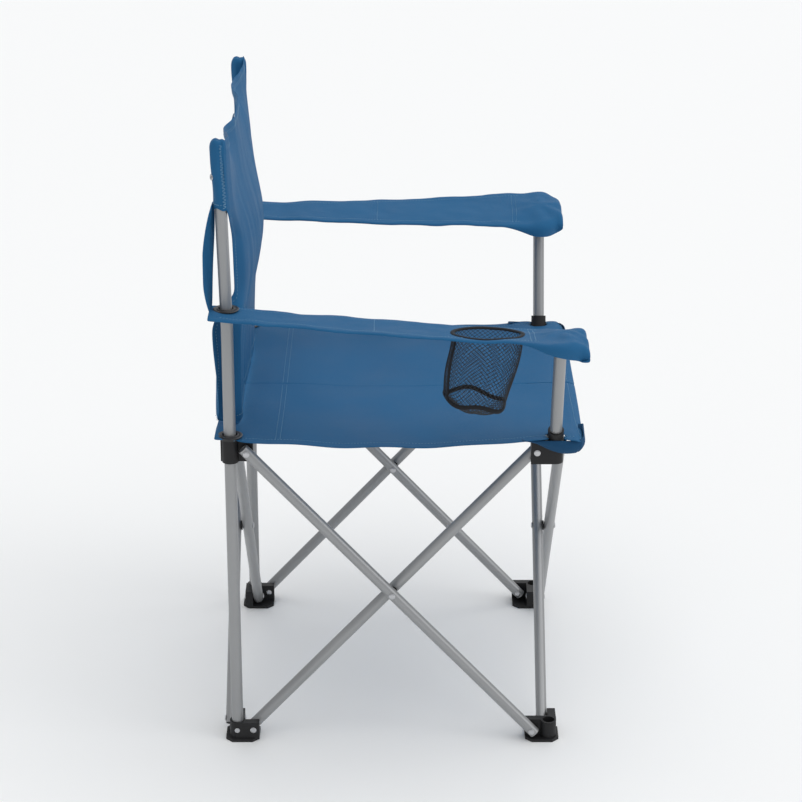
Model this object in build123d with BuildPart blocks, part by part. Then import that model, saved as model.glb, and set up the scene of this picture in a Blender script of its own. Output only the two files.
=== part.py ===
from build123d import *
import os
from math import cos, radians, sin, tan

# A folding camp chair: four scissor pairs of steel tube join four plastic feet below to two
# sliding hubs and two fixed hubs at seat height. The back poles stand in the rear feet and
# pass through the sliding hubs; the arm poles stand in the front hubs. Fabric seat, back and
# armrests hang from the poles. Millimetres, +Z up, front towards -Y, sitter's right at -X.

# Frame
spacing = 430.0            # between neighbouring corner axes, open
centre_y = 13.0            # moves the frame so that the whole chair is centred on the origin
pivot_inset = 24.0         # corner axis to the scissor pivots beside it
low_pivot_z = 17.0
pivot_rise = 413.0         # lower pivots to upper pivots, open
tube_d = 15.0
tube_wall = 1.0
tube_overhang = 7.0        # tube beyond its end pivots
spacer_t = 1.6             # washer between crossing tubes

# Poles
pole_d = 16.0
pole_wall = 1.2
pole_fit = 0.3             # radial gap, pole in its sockets
slide_fit = 0.6            # radial gap, back pole in its slider
pole_setback = 2.0         # back pole axis forward of its corner axis
pole_over_pivot = 416.0    # back pole's top above the upper pivots
bend_below_arm = 18.0      # back pole's bend below the armrest's top
bend_angle = 1.3
bend_radius = 300.0
arm_lean = 20.0
arm_pole_foot_rise = 11.0  # arm pole's foot above the upper pivots
arm_pole_short = 22.0      # arm pole's top below the armrest's top

# Feet and hubs
socket_wall = 2.3
foot_h = 28.0
foot_base_t = 4.0
foot_margin = 14.0         # base plate outside the corner axis
lug_length = 32.0
lug_gap = 0.3              # tube to the lug that it turns on
foot_chamfer = 9.0
hub_h = 32.0
arm_socket_depth = 22.0
rivet_d = 4.0
rivet_fit = 0.25
rivet_head_d = 8.5
rivet_head_t = 1.3
rivet_gap = 0.15

# Soft parts
seat_t = 4.0
seat_gap = 0.3             # soft part to what carries it
seat_front = 42.0          # seat beyond the front corner axes
seat_rear = 18.0
seat_side = 18.0
seat_corner = 26.0
ring_fit = 1.5             # radial gap, pole in its ring
ring_wall = 3.0
ring_flange_w = 7.5
arm_hole_fit = 2.2         # radial gap, arm socket in the seat's front corner
ring_flange_t = 1.6
back_t = 3.0
sleeve_t = 1.6
sleeve_over_pole = 8.0     # sleeve's closed end above the pole's top
sleeve_depth = 92.0
back_draw_in = 26.0        # panel edge inside the pole, below the sleeves
back_taper = 62.0          # height over which the panel edge draws in
back_low_gap = 0.8         # back panel above the seat rings
arm_over_pivot = 196.0     # armrest's top above the upper pivots
arm_t = 5.0
arm_flap = 22.0
arm_flap_t = 3.0
arm_front = 34.0           # armrest beyond the front corner axes
arm_rear = 20.0
arm_front_w = 104.0
arm_rear_w = 56.0
arm_front_out = 69.0       # armrest middle outside the corner axis, in front
arm_rear_out = 8.0
cup_forward = 122.0        # cup ring middle ahead of the frame's middle
cup_length = 92.0
cup_width = 78.0
cup_depth = 112.0
cup_t = 1.8
rim_t = 2.4
rim_h = 9.0
strap_w = 22.0
strap_t = 1.4
strap_lap = 10.0           # strap's top above the sleeve's lower end
cap_t = 3.0
plug_depth = 10.0
screw_d = 4.0
screw_length = 7.0
screw_head_d = 7.0
screw_head_t = 1.2
washer_d = 14.0
arm_socket_floor = 8.0
arm_corner_r = 22.0
rim_proud = 1.0

# Worked out
half = spacing / 2
tube_offset = (tube_d + spacer_t) / 2
socket_r = pole_d / 2 + pole_fit
lug_face = tube_offset - tube_d / 2 - lug_gap
lug_back = socket_r + socket_wall
high_pivot_z = low_pivot_z + pivot_rise
hub_low_z = high_pivot_z - hub_h / 2
hub_top_z = high_pivot_z + hub_h / 2
seat_z = hub_top_z + seat_gap
arm_top_z = high_pivot_z + arm_over_pivot
arm_pole_foot_z = high_pivot_z + arm_pole_foot_rise
arm_pole_top_z = arm_top_z - arm_pole_short
bend_z = arm_top_z - bend_below_arm
pole_top_z = high_pivot_z + pole_over_pivot
sleeve_top_z = pole_top_z + sleeve_over_pole
sleeve_low_z = sleeve_top_z - sleeve_depth
strap_top_z = sleeve_low_z + strap_lap
ring_hole_d = pole_d + 2 * ring_fit
ring_neck_d = ring_hole_d + 2 * ring_wall
ring_flange_d = ring_hole_d + 2 * ring_flange_w
pole_y = centre_y + half - pole_setback
front_y = centre_y - half
rear_y = centre_y + half
lean = radians(arm_lean)
bend = radians(bend_angle)

# Corner planes turn a quarter each, so that a piece drawn for one corner fits all four.
# In a foot's plane the inner tube runs along x and the outer tube along y.
corner_names = ["front_right", "back_right", "back_left", "front_left"]
corner_points = [(-half, front_y), (-half, rear_y), (half, rear_y), (half, front_y)]
corner_x_dirs = [(1, 0, 0), (0, -1, 0), (-1, 0, 0), (0, 1, 0)]
corners = [
    Plane(origin=(x, y, 0), x_dir=x_dir, z_dir=(0, 0, 1))
    for (x, y), x_dir in zip(corner_points, corner_x_dirs)
]
side_names = ["right", "back", "left", "front"]
sitter_sides = {"right": -1, "left": 1}


def save(piece, name):
    """Label a finished piece and write it."""
    piece.part.label = name
    export_step(piece.part, f"parts/{name}.step")


def post_axis(corner_number):
    """Where the post of a corner stands, in the corner's own plane."""
    setback = {1: (pole_setback, 0), 2: (0, pole_setback)}
    return setback.get(corner_number, (0, 0))


def lugs(facing):
    """Two lugs at right angles. facing 1 is a foot's pair and -1 its mirror, a hub's pair."""
    middle = facing * (lug_back - lug_face) / 2
    with Locations((lug_length / 2, -middle)):
        Rectangle(lug_length, lug_back + lug_face)
    with Locations((middle, lug_length / 2)):
        Rectangle(lug_back + lug_face, lug_length)


def bore_lugs(corner, height):
    """Cut the rivet holes through both lugs of the foot or hub in work."""
    for at, towards in (((pivot_inset, 0), corner.y_dir), ((0, pivot_inset), corner.x_dir)):
        centre = corner.from_local_coords(Vector(*at, height))
        with BuildSketch(Plane(origin=centre, z_dir=towards)) as bore:
            Circle(rivet_d / 2 + rivet_fit)
        extrude(bore.sketch, amount=2 * lug_back, both=True, mode=Mode.SUBTRACT)


def screw_axis(side):
    """Plane of a foot screw, outside the socket and looking in."""
    x = sitter_sides[side] * (half + lug_back)
    return Plane(origin=(x, pole_y, low_pivot_z), z_dir=(-sitter_sides[side], 0, 0))


def tube_ends(side_number, which):
    """Lower and upper pivot of a scissor tube, and the direction of its rivets."""
    upper = side_number if which == "inner" else (side_number + 1) % 4
    lower = (side_number + 1) % 4 if which == "inner" else side_number
    if which == "inner":
        low = corners[lower].from_local_coords(Vector(pivot_inset, tube_offset, low_pivot_z))
        high = corners[upper].from_local_coords(Vector(tube_offset, pivot_inset, high_pivot_z))
        outward = -corners[lower].y_dir
    else:
        low = corners[lower].from_local_coords(Vector(-tube_offset, pivot_inset, low_pivot_z))
        high = corners[upper].from_local_coords(Vector(pivot_inset, -tube_offset, high_pivot_z))
        outward = -corners[lower].x_dir
    return low, high, outward


def add_rivet(start, direction, grip):
    """A domed rivet: its first head's face is at start and its shank runs grip along direction."""
    across = Vector(0, 0, 1)
    shank_r = rivet_d / 2
    head_r = rivet_head_d / 2
    crown_r = head_r * 0.62
    rim = rivet_head_t * 0.4
    with BuildSketch(Plane(origin=start, x_dir=across, z_dir=across.cross(direction))) as profile:
        with BuildLine():
            Polyline(
                (0, -rivet_head_t), (crown_r, -rivet_head_t), (head_r, -rim), (head_r, 0),
                (shank_r, 0), (shank_r, grip), (head_r, grip), (head_r, grip + rim),
                (crown_r, grip + rivet_head_t), (0, grip + rivet_head_t), close=True,
            )
        make_face()
    revolve(profile.sketch, axis=Axis(start, direction))


os.makedirs("parts", exist_ok=True)

# Feet: a chamfered base, a socket and two lugs. The front sockets stand empty.
for number, corner in enumerate(corners):
    with BuildPart() as foot:
        with BuildSketch(corner):
            with Locations(((lug_length - foot_margin) / 2, (lug_length - foot_margin) / 2)):
                Rectangle(lug_length + foot_margin, lug_length + foot_margin)
        extrude(amount=foot_base_t)
        chamfer(foot.edges().filter_by(Axis.Z), foot_chamfer)
        with BuildSketch(corner.offset(foot_base_t)):
            lugs(1)
            with Locations(post_axis(number)):
                Circle(lug_back)
        extrude(amount=foot_h - foot_base_t)
        with BuildSketch(corner.offset(foot_base_t)):
            with Locations(post_axis(number)):
                Circle(socket_r)
        extrude(amount=foot_h, mode=Mode.SUBTRACT)
        bore_lugs(corner, low_pivot_z)
        if corner_names[number].startswith("back"):
            with BuildSketch(screw_axis(corner_names[number].split("_")[1])):
                Circle(screw_d / 2 + rivet_fit)
            extrude(amount=lug_back, mode=Mode.SUBTRACT)
    save(foot, f"foot_{corner_names[number]}")

# Hubs: the rear pair slides on the back poles, the front pair holds the arm poles.
for number, corner in enumerate(corners):
    slides = corner_names[number].startswith("back")
    post_r = pole_d / 2 + (slide_fit if slides else pole_fit)
    with BuildPart() as hub:
        with BuildSketch(corner.offset(hub_low_z)):
            lugs(-1)
            with Locations(post_axis(number)):
                Circle(post_r + socket_wall)
        extrude(amount=hub_h)
        if slides:
            with BuildSketch(corner.offset(hub_low_z)):
                with Locations(post_axis(number)):
                    Circle(post_r)
            extrude(amount=hub_h, mode=Mode.SUBTRACT)
        else:
            side = sitter_sides[corner_names[number].split("_")[1]]
            slant = Plane(
                origin=(side * half, front_y, arm_pole_foot_z),
                x_dir=(0, 1, 0), z_dir=(side * sin(lean), 0, cos(lean)),
            )
            with BuildSketch(slant.offset(-arm_socket_floor)):
                Circle(post_r + socket_wall)
            extrude(amount=arm_socket_floor + arm_socket_depth)
            with BuildSketch(slant):
                Circle(post_r)
            extrude(amount=2 * arm_socket_depth, mode=Mode.SUBTRACT)
        bore_lugs(corner, high_pivot_z)
    kind = "slider" if slides else "connector"
    save(hub, f"{kind}_{corner_names[number]}")

# Scissor tubes, two to a side, crossing at their middles, with their rivets and washers.
for number, side in enumerate(side_names):
    for which in ("outer", "inner"):
        low, high, outward = tube_ends(number, which)
        along = (high - low).normalized()
        pivots = [low, (low + high) * 0.5, high]
        with BuildPart() as tube:
            with BuildSketch(Plane(origin=low - along * tube_overhang, z_dir=along)):
                Circle(tube_d / 2)
                Circle(tube_d / 2 - tube_wall, mode=Mode.SUBTRACT)
            extrude(amount=(high - low).length + 2 * tube_overhang)
            for pivot in pivots:
                with BuildSketch(Plane(origin=pivot, z_dir=outward)):
                    Circle(rivet_d / 2 + rivet_fit)
                extrude(amount=tube_d, both=True, mode=Mode.SUBTRACT)
        save(tube, f"{side}_{which}_tube")

        # An end rivet goes through the tube and its lug; the outer tube's middle one through both.
        facing = outward if which == "outer" else -outward
        face = tube_d / 2 + rivet_gap
        lug_grip = face + tube_offset + lug_back + rivet_gap
        cross_grip = 2 * face + 2 * tube_offset
        with BuildPart() as rivets:
            add_rivet(low + facing * face, -facing, lug_grip)
            add_rivet(high + facing * face, -facing, lug_grip)
            if which == "outer":
                add_rivet(pivots[1] + facing * face, -facing, cross_grip)
        save(rivets, f"{side}_{which}_rivets")

        if which == "outer":
            seat_face = pivots[1] - facing * (tube_d / 2 + rivet_gap)
            with BuildPart() as washer:
                with BuildSketch(Plane(origin=seat_face, z_dir=-facing)):
                    Circle(washer_d / 2)
                    Circle(rivet_d / 2 + rivet_fit, mode=Mode.SUBTRACT)
                extrude(amount=spacer_t - 2 * rivet_gap)
            save(washer, f"{side}_washer")


def pole_shift(z):
    """How far back the pole's axis has leant at a height above its bend."""
    return (z - bend_z) * tan(bend)


# Back poles, bent slightly back above the armrest, with a top plug and a foot screw each.
for side, sign in sitter_sides.items():
    side_plane = Plane(origin=(sign * half, 0, 0), x_dir=(0, 1, 0), z_dir=(1, 0, 0))
    pole_low_z = foot_base_t + rivet_gap
    top_y = pole_y + pole_shift(pole_top_z)
    with BuildPart() as back_pole:
        with BuildLine(side_plane):
            FilletPolyline(
                (pole_y, pole_low_z), (pole_y, bend_z), (top_y, pole_top_z), radius=bend_radius
            )
        with BuildSketch(Plane(origin=(sign * half, pole_y, pole_low_z), z_dir=(0, 0, 1))):
            Circle(pole_d / 2)
            Circle(pole_d / 2 - pole_wall, mode=Mode.SUBTRACT)
        sweep()
        with BuildSketch(screw_axis(side)):
            Circle(screw_d / 2 + rivet_fit)
        extrude(amount=lug_back, mode=Mode.SUBTRACT)
    save(back_pole, f"back_pole_{side}")

    with BuildPart() as plug:
        top = Plane(origin=(sign * half, top_y, pole_top_z), z_dir=(0, sin(bend), cos(bend)))
        with BuildSketch(top):
            Circle(pole_d / 2)
        extrude(amount=cap_t)
        chamfer(plug.faces().sort_by(Axis.Z)[-1].edges(), cap_t / 3)
        with BuildSketch(top):
            Circle(pole_d / 2 - pole_wall - pole_fit)
        extrude(amount=-plug_depth)
    save(plug, f"back_plug_{side}")

    with BuildPart() as screw:
        outside = screw_axis(side)
        with BuildSketch(outside.offset(-screw_head_t - rivet_gap)):
            Circle(screw_head_d / 2)
        extrude(amount=screw_head_t)
        with BuildSketch(outside.offset(-rivet_gap)):
            Circle(screw_d / 2)
        extrude(amount=screw_length)
    save(screw, f"foot_screw_{side}")

# Arm poles, leaning out from the front connectors, with their plugs.
for side, sign in sitter_sides.items():
    slant = Plane(
        origin=(sign * half, front_y, arm_pole_foot_z),
        x_dir=(0, 1, 0), z_dir=(sign * sin(lean), 0, cos(lean)),
    )
    arm_pole_length = (arm_pole_top_z - arm_pole_foot_z) / cos(lean)
    with BuildPart() as arm_pole:
        with BuildSketch(slant.offset(rivet_gap)):
            Circle(pole_d / 2)
            Circle(pole_d / 2 - pole_wall, mode=Mode.SUBTRACT)
        extrude(amount=arm_pole_length)
    save(arm_pole, f"arm_pole_{side}")

    with BuildPart() as plug:
        top = slant.offset(rivet_gap + arm_pole_length)
        with BuildSketch(top):
            Circle(pole_d / 2)
        extrude(amount=cap_t)
        chamfer(plug.faces().sort_by(Axis.Z)[-1].edges(), cap_t / 3)
        with BuildSketch(top):
            Circle(pole_d / 2 - pole_wall - pole_fit)
        extrude(amount=-plug_depth)
    save(plug, f"arm_plug_{side}")

# Seat, in two halves that meet on the middle line, and the rings in its rear corners.
hole_r = ring_neck_d / 2 + seat_gap
arm_hole_r = socket_r + socket_wall + arm_hole_fit
arm_hole_shift = (seat_z - arm_pole_foot_z) * tan(lean)
for side, sign in sitter_sides.items():
    edge_x = sign * (half + seat_side)
    middle_x = sign * seat_gap / 2
    front_edge_y = front_y - seat_front
    rear_edge_y = rear_y + seat_rear
    with BuildPart() as seat:
        with BuildSketch(Plane.XY.offset(seat_z)):
            with BuildLine():
                Polyline(
                    (middle_x, front_edge_y), (edge_x - sign * seat_corner, front_edge_y),
                    (edge_x, front_edge_y + seat_corner), (edge_x, rear_edge_y),
                    (middle_x, rear_edge_y), close=True,
                )
            make_face()
            with Locations((sign * half, pole_y)):
                Circle(hole_r, mode=Mode.SUBTRACT)
            with Locations((sign * (half + arm_hole_shift), front_y)):
                Circle(arm_hole_r, mode=Mode.SUBTRACT)
        extrude(amount=seat_t)
    save(seat, f"seat_{side}")

    with BuildPart() as ring:
        with BuildSketch(Plane.XY.offset(seat_z)):
            with Locations((sign * half, pole_y)):
                Circle(ring_neck_d / 2)
                Circle(ring_hole_d / 2, mode=Mode.SUBTRACT)
        extrude(amount=seat_t + seat_gap)
        with BuildSketch(Plane.XY.offset(seat_z + seat_t + seat_gap)):
            with Locations((sign * half, pole_y)):
                Circle(ring_flange_d / 2)
                Circle(ring_hole_d / 2, mode=Mode.SUBTRACT)
        extrude(amount=ring_flange_t)
    save(ring, f"seat_ring_{side}")

# Back: one panel in front of the poles, with a closed sleeve over each pole's top.
back_low_z = seat_z + seat_t + seat_gap + ring_flange_t + back_low_gap
panel_rear_y = pole_y - pole_d / 2 - pole_fit
panel_front_y = panel_rear_y - back_t
sleeve_start = (sleeve_low_z - bend_z) / cos(bend)
sleeve_length = (sleeve_top_z - sleeve_low_z) / cos(bend)
sleeve_bore = (pole_top_z + cap_t + pole_fit - sleeve_low_z) / cos(bend)
with BuildPart() as backrest:
    with BuildSketch(Plane.YZ.offset(-half)):
        with BuildLine():
            Polyline(
                (panel_front_y, back_low_z), (panel_front_y, bend_z),
                (panel_front_y + pole_shift(sleeve_top_z), sleeve_top_z),
                (panel_rear_y + pole_shift(sleeve_top_z), sleeve_top_z),
                (panel_rear_y, bend_z), (panel_rear_y, back_low_z), close=True,
            )
        make_face()
    extrude(amount=spacing)
    for sign in sitter_sides.values():
        with BuildSketch(Plane.XZ):
            with BuildLine():
                Polyline(
                    (sign * half, sleeve_low_z), (sign * (half - back_draw_in), sleeve_low_z - back_taper),
                    (sign * (half - back_draw_in), back_low_z - back_t),
                    (sign * (half + back_t), back_low_z - back_t),
                    (sign * (half + back_t), sleeve_low_z), close=True,
                )
            make_face()
        extrude(amount=-rear_y - seat_rear, mode=Mode.SUBTRACT)
    for sign in sitter_sides.values():
        lower = Plane(origin=(sign * half, pole_y, bend_z), z_dir=(0, sin(bend), cos(bend)))
        with BuildSketch(lower.offset(sleeve_start)):
            Circle(pole_d / 2 + pole_fit + sleeve_t)
        extrude(amount=sleeve_length)
        with BuildSketch(lower.offset(sleeve_start)):
            Circle(pole_d / 2 + pole_fit)
        extrude(amount=sleeve_bore, mode=Mode.SUBTRACT)
save(backrest, "backrest")


def arm_middle(y, sign):
    """The armrest's middle line, which draws in towards the back pole."""
    front_end = front_y - arm_front
    share = (y - front_end) / (rear_y + arm_rear - front_end)
    return sign * (half + arm_front_out + (arm_rear_out - arm_front_out) * share)


# Armrests: a tapered strip with a shallow flap all round, over the arm pole and round the back pole.
ring_y = pole_y + pole_shift(arm_top_z)
cup_y = centre_y - cup_forward
for side, sign in sitter_sides.items():
    ends = ((front_y - arm_front, arm_front_w), (rear_y + arm_rear, arm_rear_w))
    with BuildPart() as armrest:
        with BuildSketch(Plane.XY.offset(arm_top_z)) as outline:
            with BuildLine():
                Polyline(
                    *[(arm_middle(y, sign) - width / 2, y) for y, width in ends],
                    *[(arm_middle(y, sign) + width / 2, y) for y, width in reversed(ends)],
                    close=True,
                )
            make_face()
            fillet(outline.vertices().group_by(Axis.Y)[0], arm_corner_r)
        extrude(amount=-arm_t - arm_flap)
        with BuildSketch(Plane.XY.offset(arm_top_z - arm_t - arm_flap)):
            offset(outline.sketch.face(), amount=-arm_flap_t)
        extrude(amount=arm_flap, mode=Mode.SUBTRACT)
        with BuildSketch(Plane.XY.offset(arm_top_z)):
            with Locations((sign * half, ring_y)):
                Circle(hole_r)
            if side == "right":
                with Locations((arm_middle(cup_y, sign), cup_y)):
                    Ellipse(cup_width / 2 + seat_gap, cup_length / 2 + seat_gap)
        extrude(amount=-arm_t, mode=Mode.SUBTRACT)
    save(armrest, f"armrest_{side}")

    with BuildPart() as ring:
        with BuildSketch(Plane.XY.offset(arm_top_z - arm_t)):
            with Locations((sign * half, ring_y)):
                Circle(ring_neck_d / 2)
                Circle(ring_hole_d / 2, mode=Mode.SUBTRACT)
        extrude(amount=arm_t + seat_gap)
        with BuildSketch(Plane.XY.offset(arm_top_z + seat_gap)):
            with Locations((sign * half, ring_y)):
                Circle(ring_flange_d / 2)
                Circle(ring_hole_d / 2, mode=Mode.SUBTRACT)
        extrude(amount=ring_flange_t)
    save(ring, f"arm_ring_{side}")

    # The strap that holds up the armrest's rear end runs behind the pole to the sleeve.
    strap_low_z = arm_top_z + seat_gap
    strap_low_y = rear_y + arm_rear - strap_t
    strap_top_y = pole_y + pole_shift(strap_top_z) + pole_d / 2 + pole_fit + sleeve_t + seat_gap
    with BuildPart() as strap:
        with BuildSketch(Plane.YZ.offset(sign * half - strap_w / 2)):
            with BuildLine():
                Polyline(
                    (strap_low_y, strap_low_z), (strap_low_y + strap_t, strap_low_z),
                    (strap_top_y + strap_t, strap_top_z), (strap_top_y, strap_top_z), close=True,
                )
            make_face()
        extrude(amount=strap_w)
    save(strap, f"arm_strap_{side}")

# Cup pocket in the right armrest: a rim set in the strip and a net hanging below it.
cup_at = (arm_middle(cup_y, sitter_sides["right"]), cup_y)
rim_low_z = arm_top_z + rim_proud - rim_h
with BuildPart() as cup_rim:
    with BuildSketch(Plane.XY.offset(rim_low_z)):
        with Locations(cup_at):
            Ellipse(cup_width / 2, cup_length / 2)
            Ellipse(cup_width / 2 - rim_t, cup_length / 2 - rim_t, mode=Mode.SUBTRACT)
    extrude(amount=rim_h)
save(cup_rim, "cup_rim")

with BuildPart() as cup_net:
    with BuildSketch(Plane.XY.offset(rim_low_z - seat_gap)):
        with Locations(cup_at):
            Ellipse(cup_width / 2, cup_length / 2)
    extrude(amount=-cup_depth)
    with BuildSketch(Plane.XY.offset(rim_low_z - seat_gap)):
        with Locations(cup_at):
            Ellipse(cup_width / 2 - cup_t, cup_length / 2 - cup_t)
    extrude(amount=cup_t - cup_depth, mode=Mode.SUBTRACT)
save(cup_net, "cup_net")
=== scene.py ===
import math

import bmesh
import bpy
from mathutils import Matrix, Vector, noise
from mathutils.bvhtree import BVHTree


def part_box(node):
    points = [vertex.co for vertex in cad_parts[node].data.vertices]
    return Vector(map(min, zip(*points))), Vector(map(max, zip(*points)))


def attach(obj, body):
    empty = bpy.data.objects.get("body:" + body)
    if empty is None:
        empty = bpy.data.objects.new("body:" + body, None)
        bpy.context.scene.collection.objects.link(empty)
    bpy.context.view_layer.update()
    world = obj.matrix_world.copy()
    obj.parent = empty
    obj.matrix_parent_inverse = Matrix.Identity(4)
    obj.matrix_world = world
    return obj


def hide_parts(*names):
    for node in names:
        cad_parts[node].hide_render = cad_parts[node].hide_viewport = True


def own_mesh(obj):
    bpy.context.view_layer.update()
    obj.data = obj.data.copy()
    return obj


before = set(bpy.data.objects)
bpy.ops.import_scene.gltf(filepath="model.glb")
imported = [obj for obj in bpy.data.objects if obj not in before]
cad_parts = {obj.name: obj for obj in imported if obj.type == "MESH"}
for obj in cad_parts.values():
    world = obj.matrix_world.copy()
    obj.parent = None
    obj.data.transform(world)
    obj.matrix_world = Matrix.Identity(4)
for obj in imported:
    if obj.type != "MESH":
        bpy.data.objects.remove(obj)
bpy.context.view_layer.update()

# Camera and light.
# A long lens stands level with the sitter's right side and looks slightly down.
# Floor and sky are near white; a wide soft lamp is overhead, weaker ones in front and at the left.
camera_data = bpy.data.cameras.new("camera")
camera_data.sensor_width = 36.0
camera_data.lens = 111.0
camera = bpy.data.objects.new("camera", camera_data)
camera.location = (-3.219, 0.001, 1.690)
camera.rotation_euler = (math.radians(90 - 21.62), 0, math.radians(-90))
bpy.context.collection.objects.link(camera)
bpy.context.scene.camera = camera

bpy.context.scene.view_settings.view_transform = "Standard"

sky = bpy.data.worlds.new("studio sky")
sky.use_nodes = True
sky.node_tree.nodes["Background"].inputs["Color"].default_value = (0.97, 0.98, 1.0, 1)
sky.node_tree.nodes["Background"].inputs["Strength"].default_value = 0.54
bpy.context.scene.world = sky

for lamp_name, place, power, spread in (
    ("overhead lamp", (-0.2, -0.6, 3.0), 1.3, 80),
    ("front lamp", (-0.8, -2.6, 1.6), 0.35, 25),
    ("left lamp", (2.4, -0.5, 1.9), 0.3, 40),
):
    lamp_data = bpy.data.lights.new(lamp_name, "SUN")
    lamp_data.energy = power
    lamp_data.angle = math.radians(spread)
    lamp = bpy.data.objects.new(lamp_name, lamp_data)
    lamp.location = place
    lamp.rotation_euler = (Vector((0, 0, 0.4)) - lamp.location).to_track_quat("-Z", "Y").to_euler()
    bpy.context.collection.objects.link(lamp)

floor_bm = bmesh.new()
bmesh.ops.create_grid(floor_bm, x_segments=1, y_segments=1, size=9)
floor_mesh = bpy.data.meshes.new("floor")
floor_bm.to_mesh(floor_mesh)
floor_bm.free()
floor = bpy.data.objects.new("floor", floor_mesh)
bpy.context.collection.objects.link(floor)
floor_paint = bpy.data.materials.new("pale floor")
floor_paint.use_nodes = True
floor_paint.node_tree.nodes["Principled BSDF"].inputs["Base Color"].default_value = (0.93, 0.935, 0.93, 1)
floor_paint.node_tree.nodes["Principled BSDF"].inputs["Roughness"].default_value = 0.8
floor_mesh.materials.append(floor_paint)

# Steel tube.
# Thin-walled steel tube, cut square, with a satin silver-grey powder coat.
# The coat has a fine orange peel, and faint cloudy patches in its tone and gloss.


def new_group(name, inputs, outputs):
    """An empty shader node group with its sockets."""
    group = bpy.data.node_groups.new(name, "ShaderNodeTree")
    for socket, kind, value in inputs:
        made = group.interface.new_socket(socket, in_out="INPUT", socket_type="NodeSocket" + kind)
        if value is not None:
            made.default_value = value
    for socket, kind in outputs:
        group.interface.new_socket(socket, in_out="OUTPUT", socket_type="NodeSocket" + kind)
    return group, group.nodes.new("NodeGroupInput"), group.nodes.new("NodeGroupOutput")


grit, grit_in, grit_out = new_group(
    "grit and wear",
    [("Vector", "Vector", None), ("Grain Size", "Float", 900.0), ("Patch Size", "Float", 14.0)],
    [("Grain", "Float"), ("Patch", "Float")],
)
grain_noise = grit.nodes.new("ShaderNodeTexNoise")
grain_noise.inputs["Detail"].default_value = 3
grit.links.new(grit_in.outputs["Vector"], grain_noise.inputs["Vector"])
grit.links.new(grit_in.outputs["Grain Size"], grain_noise.inputs["Scale"])
grit.links.new(grain_noise.outputs["Fac"], grit_out.inputs["Grain"])
patch_noise = grit.nodes.new("ShaderNodeTexNoise")
patch_noise.inputs["Detail"].default_value = 5
grit.links.new(grit_in.outputs["Vector"], patch_noise.inputs["Vector"])
grit.links.new(grit_in.outputs["Patch Size"], patch_noise.inputs["Scale"])
grit.links.new(patch_noise.outputs["Fac"], grit_out.inputs["Patch"])


def patchy(tree, shader, grain_size, patch_size, dark, light, roughness):
    """Lay the grit group's patches over a finish, and return the group and the mixed tone."""
    place = tree.nodes.new("ShaderNodeTexCoord")
    wear = tree.nodes.new("ShaderNodeGroup")
    wear.node_tree = grit
    wear.inputs["Grain Size"].default_value = grain_size
    wear.inputs["Patch Size"].default_value = patch_size
    tree.links.new(place.outputs["Object"], wear.inputs["Vector"])
    tone = tree.nodes.new("ShaderNodeMix")
    tone.data_type = "RGBA"
    tone.inputs["A"].default_value = (*dark, 1)
    tone.inputs["B"].default_value = (*light, 1)
    tree.links.new(wear.outputs["Patch"], tone.inputs["Factor"])
    rough = tree.nodes.new("ShaderNodeMapRange")
    rough.inputs["From Min"].default_value = 0.3
    rough.inputs["From Max"].default_value = 0.7
    rough.inputs["To Min"].default_value = roughness[0]
    rough.inputs["To Max"].default_value = roughness[1]
    tree.links.new(wear.outputs["Patch"], rough.inputs["Value"])
    tree.links.new(rough.outputs["Result"], shader.inputs["Roughness"])
    return wear, tone.outputs["Result"]


def coated(name, dark, light, roughness, grain_size, patch_size, grain_depth, metallic=0.0):
    """A moulded or coated finish: two tones in patches, a rough band and a fine grain."""
    paint = bpy.data.materials.new(name)
    paint.use_nodes = True
    tree = paint.node_tree
    shader = tree.nodes["Principled BSDF"]
    shader.inputs["Metallic"].default_value = metallic
    wear, tone = patchy(tree, shader, grain_size, patch_size, dark, light, roughness)
    tree.links.new(tone, shader.inputs["Base Color"])
    bump = tree.nodes.new("ShaderNodeBump")
    bump.inputs["Strength"].default_value = 0.35
    bump.inputs["Distance"].default_value = grain_depth
    tree.links.new(wear.outputs["Grain"], bump.inputs["Height"])
    tree.links.new(bump.outputs["Normal"], shader.inputs["Normal"])
    return paint


def dress(names, paint):
    """Give carried-over frame pieces their finish."""
    for name in names:
        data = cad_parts[name].data
        data.materials.clear()
        data.materials.append(paint)


def smooth_by_angle(thing, degrees_limit=35):
    """Shade a mesh smooth, with its hard edges kept."""
    thing.data.shade_smooth()
    thing.data.set_sharp_from_angle(angle=math.radians(degrees_limit))


tube_names = [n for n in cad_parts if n.endswith("_tube") or "_pole_" in n]
tube_coat = coated(
    "silver powder coat", (0.3, 0.305, 0.31), (0.37, 0.375, 0.38), (0.34, 0.46), 1100, 9, 0.0002, 0.55
)
dress(tube_names, tube_coat)

# Feet, hubs and plugs.
# Black nylon mouldings with a fine spark-eroded texture and faint patches of wear.
# The feet sit flat on the ground; the rear hubs slide on the poles.
moulding_names = [
    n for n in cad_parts
    if n.startswith(("foot_front", "foot_back", "slider", "connector")) or "plug" in n or "washer" in n
]
black_nylon = coated("black nylon", (0.012, 0.012, 0.013), (0.03, 0.03, 0.031), (0.42, 0.6), 700, 22, 0.0004)
black_nylon.node_tree.nodes["Principled BSDF"].inputs["Specular IOR Level"].default_value = 0.22
dress(moulding_names, black_nylon)

# Rivets and screws.
# Zinc-plated steel, with brighter and duller patches in the plating.
# They stay as the frame has them and only take their plating.
fixing_names = [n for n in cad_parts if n.endswith("_rivets") or n.startswith("foot_screw")]
zinc = coated("zinc plating", (0.42, 0.43, 0.45), (0.62, 0.62, 0.63), (0.22, 0.4), 1500, 60, 0.0001, 0.95)
dress(fixing_names, zinc)

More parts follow.
